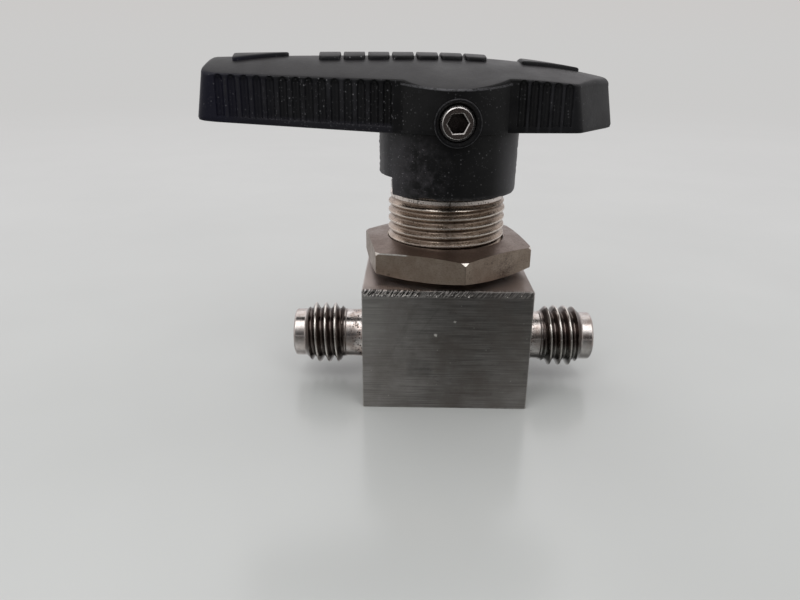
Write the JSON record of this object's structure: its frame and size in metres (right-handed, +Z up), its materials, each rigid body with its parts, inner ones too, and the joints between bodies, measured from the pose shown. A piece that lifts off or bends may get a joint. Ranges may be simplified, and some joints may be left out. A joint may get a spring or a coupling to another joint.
{
  "type": "ball valve",
  "caption": "Small one-piece instrument ball valve: square block, two male tube ends, threaded bonnet with panel nut, and an off-centre lever handle that turns a quarter turn.",
  "frame": {"origin": "centre of the block's flat bottom face, on the stem axis", "axes": "+Z up along the stem axis, through the bonnet and the handle; +X along the flow axis, away from the long arm of the handle in the open position; +Y is the back"},
  "size_m": [0.0485, 0.0216, 0.041],
  "materials": {
    "body_steel": "milled stainless steel",
    "nut_steel": "satin stainless steel with a warm tarnish",
    "bright_steel": "fine-turned stainless steel",
    "spring_steel": "rolled spring steel",
    "dark_steel": "dark alloy steel",
    "packing": "white fluoropolymer",
    "bushing_plastic": "tan engineering plastic",
    "black_nylon": "moulded black nylon, satin"
  },
  "bodies": {
    "housing": {"valve_body": "body_steel", "lower_packing": "packing", "upper_packing": "packing", "side_ring_left": "packing", "side_ring_right": "packing", "side_disc_left": "bright_steel", "side_disc_right": "bright_steel", "packing_support_ring": "bright_steel", "stem_bushing": "bushing_plastic", "disc_spring_1": "spring_steel", "disc_spring_2": "spring_steel", "disc_spring_3": "spring_steel", "disc_spring_4": "spring_steel", "packing_gland": "body_steel", "packing_bolt": "body_steel", "stop_washer": "bright_steel"},
    "rotor": {"ball_stem": "bright_steel", "handle_insert": "body_steel", "set_screw": "dark_steel", "handle": "black_nylon"},
    "nut": {"panel_nut": "nut_steel"}
  },
  "joints": [
    {"name": "handle_turn", "type": "hinge", "parent": "housing", "child": "rotor", "pos_m": [0, 0, 0], "axis": [0, 0, 1], "range_deg": [-90, 0]},
    {"name": "panel_nut_travel", "type": "slide", "parent": "housing", "child": "nut", "axis": [0, 0, 1], "range_m": [-0.0004, 0.005]}
  ]
}
